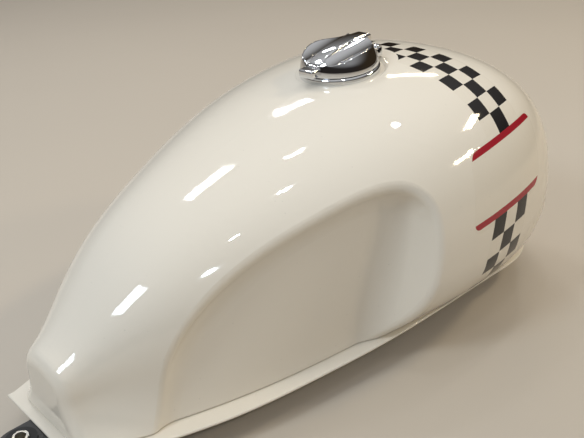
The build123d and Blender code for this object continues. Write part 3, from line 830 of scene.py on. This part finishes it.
def sender_form():
    """Moulded flange with a groove, a ribbed neck and a round socket, downwards from the floor."""
    form = bmesh.new()
    groove = [(radius, SENDER_THICK - depth) for radius, depth in GROOVE]
    bore = PLUG_RADIUS - PLUG_WALL
    lathe(form, [(0.0, 0.0), (SENDER_RADIUS, 0.0), (SENDER_RADIUS, SENDER_THICK - SENDER_CHAMFER),
                 (SENDER_RADIUS - SENDER_CHAMFER, SENDER_THICK), *groove,
                 (PLUG_RADIUS + PLUG_FILLET, SENDER_THICK), (PLUG_RADIUS, SENDER_THICK + PLUG_FILLET),
                 (PLUG_RADIUS, PLUG_DROP - PLUG_ROUND), (PLUG_RADIUS - PLUG_ROUND, PLUG_DROP),
                 (bore + MOUTH_CHAMFER, PLUG_DROP), (bore, PLUG_DROP - MOUTH_CHAMFER),
                 (bore, PLUG_FLOOR), (0.0, PLUG_FLOOR)], 72)
    for index in range(RIB_COUNT):
        rib = bmesh.new()
        soft_block(rib, (PLUG_RADIUS - SUNK, -RIB_HALF, SENDER_THICK),
                   (PLUG_RADIUS + RIB_PROUD, RIB_HALF, RIB_END), RIB_ROUND)
        turn = Matrix.Rotation(math.tau * index / RIB_COUNT, 3, "Z")
        bmesh.ops.rotate(rib, cent=(0, 0, 0), matrix=turn, verts=rib.verts)
        merge(form, rib)
    return form


def screw_form():
    """Round-headed screws in a circle on the sender's flange."""
    form = bmesh.new()
    for index in range(SCREW_COUNT):
        head = bmesh.new()
        lathe(head, SCREW_HEAD, 28)
        place = round_place(SCREW_CIRCLE, (index + SCREW_TURN) / SCREW_COUNT, SENDER_THICK)
        bmesh.ops.translate(head, vec=place, verts=head.verts)
        merge(form, head)
    return form


def bead(form, start, end):
    """Weld bead: one ripple for each pass of the torch."""
    start, run = Vector(start), Vector(end) - Vector(start)
    count = round(run.length / WELD_RIPPLE)
    step = run.length / count
    outline = [(0.0, 0.0), (WELD_RADIUS * WELD_START[0], step * WELD_START[1])]
    outline += [(WELD_RADIUS * radius, step * (index + along))
                for index in range(count) for radius, along in (WELD_CREST, WELD_DIP)]
    part = bmesh.new()
    lathe(part, [*outline, (0.0, run.length)], WELD_TURNS)
    place = Matrix.Translation(start) @ run.to_track_quat("Z", "Y").to_matrix().to_4x4()
    bmesh.ops.transform(part, matrix=place, verts=part.verts)
    merge(form, part)


def weld_form(spans, sides, heights):
    """Beads along X, one over each span, on each side and at each height."""
    form = bmesh.new()
    for y, z, (first, last) in product(sides, heights, spans):
        bead(form, (first, y, z), (last, y, z))
    return form


def bracket_weld_form():
    form = weld_form(BRACKET_WELD_X, (BRACKET_WELD_Y, -BRACKET_WELD_Y), (BRACKET_WELD_Z,))
    bead(form, (BRACKET_FRONT_X, -BRACKET_FRONT_HALF, BRACKET_WELD_Z),
         (BRACKET_FRONT_X, BRACKET_FRONT_HALF, BRACKET_WELD_Z))
    return form


# Pieces.

class TANK_OT_painted_shell(bpy.types.Operator):
    """Paint the shell cream with a checker band, and the seam flange to match"""
    bl_idname = "tank.painted_shell"
    bl_label = "Painted shell"

    def execute(self, context):
        paint = context.scene.tank_paint
        dress(cream_paint("cream_paint_banded", paint, banded=True), "tank_shell")
        dress(cream_paint("cream_paint", paint), "floor_pan")
        return {"FINISHED"}


class TANK_OT_filler_cap(bpy.types.Operator):
    """Chrome the filler cap, its ring and its hinge"""
    bl_idname = "tank.filler_cap"
    bl_label = "Filler cap"

    def execute(self, context):
        chrome = chrome_finish(context.scene.tank_chrome)
        dress(chrome, "cap_lid", "cap_base_ring", "cap_hinge_pin")
        add_piece("cap_lid_casting", lid_form(), CAP_PLACE, chrome, "lid", "chrome", "cap_lid")
        add_piece("cap_ring_casting", ring_form(), CAP_PLACE, chrome, "tank", "chrome", "cap_base_ring")
        plated = plated_finish()
        dress(plated, "filler_neck")
        add_piece("cap_seal_plate", seal_plate_form(), CAP_PLACE, plated, "lid", "plated_steel")
        dress(dark_finish("seal_rubber"), "cap_seal")
        return {"FINISHED"}


class TANK_OT_mountings(bpy.types.Operator):
    """Finish the rear bracket with its bolt collar, and the front channels"""
    bl_idname = "tank.mountings"
    bl_label = "Mountings"

    def execute(self, context):
        black = dark_finish("bracket_black")
        dress(black, "rear_bracket", "front_channel_left", "front_channel_right")
        add_piece("rear_bracket_welds", bracket_weld_form(), MM, black, "tank", "bracket_steel")
        for name, y in (("left", CHANNEL_WELD_Y), ("right", -CHANNEL_WELD_Y)):
            welds = weld_form(CHANNEL_WELD_X, (y,), CHANNEL_WELD_Z)
            add_piece(name + "_channel_welds", welds, MM, black, "tank", "bracket_steel")
        dress(dark_finish("grommet_rubber"), "rear_grommet")
        dress(plated_finish(), "rear_collar")
        return {"FINISHED"}


class TANK_OT_underside(bpy.types.Operator):
    """Finish the pump plate, the level sender and the pipes"""
    bl_idname = "tank.underside"
    bl_label = "Underside fittings"

    def execute(self, context):
        plated, plastic = plated_finish(), dark_finish("moulded_plastic")
        nuts = ["pump_nut_" + str(index + 1) for index in range(NUT_COUNT)]
        dress(plated, "pump_plate", "pump_clamp_ring", "fuel_outlet", *PIPE_AT, *nuts)
        dress(plastic, "pump_connector", "level_sender")
        for index, nut in enumerate(nuts):
            turn = Matrix.Rotation(math.tau * index / NUT_COUNT, 4, "Z")
            arm = turn @ Matrix.Translation((NUT_CIRCLE, 0, 0))
            place = MM @ Matrix.Translation(PUMP_AT) @ arm @ down_from((0, 0, CLAMP_UNDER))
            add_piece(nut + "_fastener", nut_form(), place, plated, "tank", "plated_steel", nut)
        add_piece("fuel_outlet_elbow", outlet_form(), MM, plated, "tank", "plated_steel", "fuel_outlet")
        for pipe, (x, y) in PIPE_AT.items():
            place = MM @ down_from((x, y, FLOOR_UNDER))
            add_piece(pipe + "_barbed", pipe_form(), place, plated, "tank", "plated_steel", pipe)

        add_piece("pump_connector_socket", connector_form(), MM, plastic, "tank", "black_plastic",
                  "pump_connector")
        low, high = (Vector(corner) for corner in CONNECTOR)
        blades = blade_form((low + high) / 2, low.z, CONNECTOR_BLADE_STEP, CONNECTOR_BLADES)
        add_piece("pump_connector_blades", blades, MM, plated, "tank", "plated_steel")

        place = MM @ down_from((SENDER_AT.x, SENDER_AT.y, FLOOR_UNDER))
        add_piece("level_sender_moulding", sender_form(), place, plastic, "tank", "black_plastic",
                  "level_sender")
        add_piece("level_sender_screws", screw_form(), place, plated, "tank", "plated_steel")
        blades = blade_form(SENDER_AT, FLOOR_UNDER - PLUG_DROP, SENDER_BLADE_STEP, SENDER_BLADES)
        add_piece("level_sender_blades", blades, MM, plated, "tank", "plated_steel")
        return {"FINISHED"}


# Studio, in metres.

NEUTRAL = (1.0, 1.0, 1.0)
COOL = (0.80, 0.91, 1.0)
WARM = (1.0, 0.84, 0.58)
CEILING = 2.0
SOFTBOXES = (  # name, x, y, width, depth, share of the key's power, colour
    ("key_box", 0.38, 1.46, 0.42, 0.16, 1.0, NEUTRAL),
    ("far_left_box", 1.51, 1.82, 0.40, 0.10, 0.5, NEUTRAL),
    ("near_left_box", 0.64, 0.65, 0.12, 0.05, 0.25, NEUTRAL),
    ("front_box", 1.25, -0.02, 0.12, 0.05, 0.25, NEUTRAL),
    ("far_front_box", 2.49, 1.15, 0.60, 0.08, 0.5, WARM),
    ("overhead_box", 0.21, -0.08, 0.07, 0.05, 0.2, NEUTRAL),
    ("nose_box", 2.25, -0.96, 0.42, 0.14, 2.4, WARM),
    ("far_nose_box", 2.49, -2.52, 0.50, 0.14, 2.4, WARM),
    ("side_box", -0.38, -0.69, 0.06, 0.05, 0.2, NEUTRAL),
    ("rear_side_box", -1.13, -1.75, 0.12, 0.12, 1.2, COOL),
    ("rear_box", -1.9, 0.3, 0.6, 0.6, 3.2, COOL),
)
LOW_SKY, HIGH_SKY, FRONT_SKY = (0.07, 0.06, 0.055), (0.80, 0.80, 0.80), (0.10, 0.07, 0.04)
LOW_SKY_Z = (0.18, 0.34)  # on a sky of radius 1, the low tone turns into the high one here
FRONT_SKY_X = (-0.3, 0.8)  # the front one comes in here
FRONT_SKY_Z = (0.2, 0.9)  # and goes out here
ZENITH_Z, ZENITH_GAIN = (0.3, 1.0), 2.2  # the sky gets this much stronger up to its highest point
SUBJECT = Vector((0.3, 0.0, 0.1))
CAMERA_PLACE = Vector((-0.1294, -0.4325, 0.3805))
CAMERA_TARGET = Vector((0.2874, 0.0016, 0.0803))
CAMERA_ROLL = -0.035
SENSOR_WIDTH, PHOTO_WIDTH, FOCAL_LENGTH = 36.0, 584.0, 711.0  # millimetres, then two in pixels of the photo
CLIP_START = 0.01
FLOOR_GAP, FLOOR_SIZE, FLOOR_CELLS = 0.001, 6.0, 4
FLOOR_SHADE, FLOOR_ROUGHNESS = 0.97, 0.8


def softbox(name, place, width, depth, power, colour):
    """Rectangular area light, turned to the subject."""
    light = bpy.data.lights.new(name, "AREA")
    light.shape = "RECTANGLE"
    light.size, light.size_y = width, depth
    light.energy = power
    light.color = colour
    item = put_in_scene(name, light)
    item.location = place
    item.rotation_mode = "QUATERNION"
    item.rotation_quaternion = (SUBJECT - item.location).to_track_quat("-Z", "Y")


def build_floor(studio):
    form = bmesh.new()
    place = Matrix.Translation((SUBJECT.x, 0.0, cad_box[0].z - FLOOR_GAP))
    bmesh.ops.create_grid(form, x_segments=FLOOR_CELLS, y_segments=FLOOR_CELLS,
                          size=FLOOR_SIZE, matrix=place)
    mesh = finish_mesh("studio_floor", form)
    floor = put_in_scene("studio_floor", mesh)
    material, tree, shader = new_material("floor_paper", FLOOR_ROUGHNESS)
    base = mix_colour(tree, mottle(tree, 3.0, 3.0), *tones(studio.floor_colour, FLOOR_SHADE))
    tree.links.new(base, shader.inputs["Base Color"])
    mesh.materials.append(material)


def build_sky(studio):
    """Even light, strongest overhead and darker low down and in front; the camera sees a plain backdrop."""
    world = bpy.data.worlds.new("studio")
    world.use_nodes = True
    tree = world.node_tree
    split = add_node(tree, "ShaderNodeSeparateXYZ")
    tree.links.new(add_node(tree, "ShaderNodeTexCoord").outputs["Generated"], split.inputs[0])
    x, _, z = split.outputs
    front = calc(tree, "MULTIPLY", ramp(tree, x, *FRONT_SKY_X, smooth=True),
                 ramp(tree, z, *FRONT_SKY_Z, 1.0, 0.0))
    tone = mix_colour(tree, ramp(tree, z, *LOW_SKY_Z, smooth=True), LOW_SKY, HIGH_SKY)
    tone = mix_colour(tree, front, tone, FRONT_SKY)
    background = tree.nodes["Background"]
    tree.links.new(tone, background.inputs["Color"])
    gain = ramp(tree, z, *ZENITH_Z, 1.0, ZENITH_GAIN, smooth=True)
    tree.links.new(calc(tree, "MULTIPLY", gain, studio.sky_strength), background.inputs["Strength"])
    backdrop = add_node(tree, "ShaderNodeBackground")
    backdrop.inputs["Color"].default_value = (*studio.backdrop, 1.0)
    mixed = add_node(tree, "ShaderNodeMixShader")
    seen = add_node(tree, "ShaderNodeLightPath").outputs["Is Camera Ray"]
    feed(tree, mixed.inputs, (seen, background.outputs[0], backdrop.outputs[0]))
    tree.links.new(mixed.outputs[0], tree.nodes["World Output"].inputs["Surface"])
    bpy.context.scene.world = world


def build_camera():
    """Camera at the photo's place, turned a little about its own line of sight."""
    camera = bpy.data.cameras.new("camera")
    camera.lens = SENSOR_WIDTH * FOCAL_LENGTH / PHOTO_WIDTH
    camera.clip_start = CLIP_START
    item = put_in_scene("camera", camera)
    item.location = CAMERA_PLACE
    ahead = (CAMERA_TARGET - CAMERA_PLACE).normalized()
    right = ahead.cross(Vector((0, 0, 1))).normalized()
    up = right.cross(ahead)
    tilted_right = math.cos(CAMERA_ROLL) * right + math.sin(CAMERA_ROLL) * up
    tilted_up = math.cos(CAMERA_ROLL) * up - math.sin(CAMERA_ROLL) * right
    item.rotation_mode = "QUATERNION"
    item.rotation_quaternion = Matrix((tilted_right, tilted_up, -ahead)).transposed().to_quaternion()
    bpy.context.scene.camera = item


class TANK_OT_studio(bpy.types.Operator):
    """Set up the floor, the soft lights and the camera"""
    bl_idname = "tank.studio"
    bl_label = "Studio"

    def execute(self, context):
        studio = context.scene.tank_studio
        build_floor(studio)
        build_sky(studio)
        for name, x, y, width, depth, share, colour in SOFTBOXES:
            softbox(name, Vector((x, y, CEILING)), width, depth, share * studio.key_power, colour)
        build_camera()
        context.scene.view_settings.view_transform = "Standard"
        return {"FINISHED"}


STEPS = (TANK_OT_painted_shell, TANK_OT_filler_cap, TANK_OT_mountings, TANK_OT_underside, TANK_OT_studio)


class TANK_PT_panel(bpy.types.Panel):
    """Lists the tank's pieces and their settings"""
    bl_idname = "TANK_PT_panel"
    bl_label = "Fuel Tank"
    bl_space_type = "VIEW_3D"
    bl_region_type = "UI"
    bl_category = "Fuel Tank"

    def draw(self, context):
        for group in (context.scene.tank_paint, context.scene.tank_chrome, context.scene.tank_studio):
            box = self.layout.box()
            for name in group.__annotations__:
                box.prop(group, name)
        for step in STEPS:
            self.layout.operator(step.bl_idname)


CLASSES = (PaintSettings, ChromeSettings, StudioSettings, *STEPS, TANK_PT_panel)


def register():
    for item in CLASSES:
        bpy.utils.register_class(item)
    bpy.types.Scene.tank_paint = PointerProperty(type=PaintSettings)
    bpy.types.Scene.tank_chrome = PointerProperty(type=ChromeSettings)
    bpy.types.Scene.tank_studio = PointerProperty(type=StudioSettings)


def unregister():
    del bpy.types.Scene.tank_studio
    del bpy.types.Scene.tank_chrome
    del bpy.types.Scene.tank_paint
    for item in reversed(CLASSES):
        bpy.utils.unregister_class(item)


def main():
    register()
    bpy.ops.tank.painted_shell()
    bpy.ops.tank.filler_cap()
    bpy.ops.tank.mountings()
    bpy.ops.tank.underside()
    bpy.ops.tank.studio()


if __name__ == "__main__":
    main()
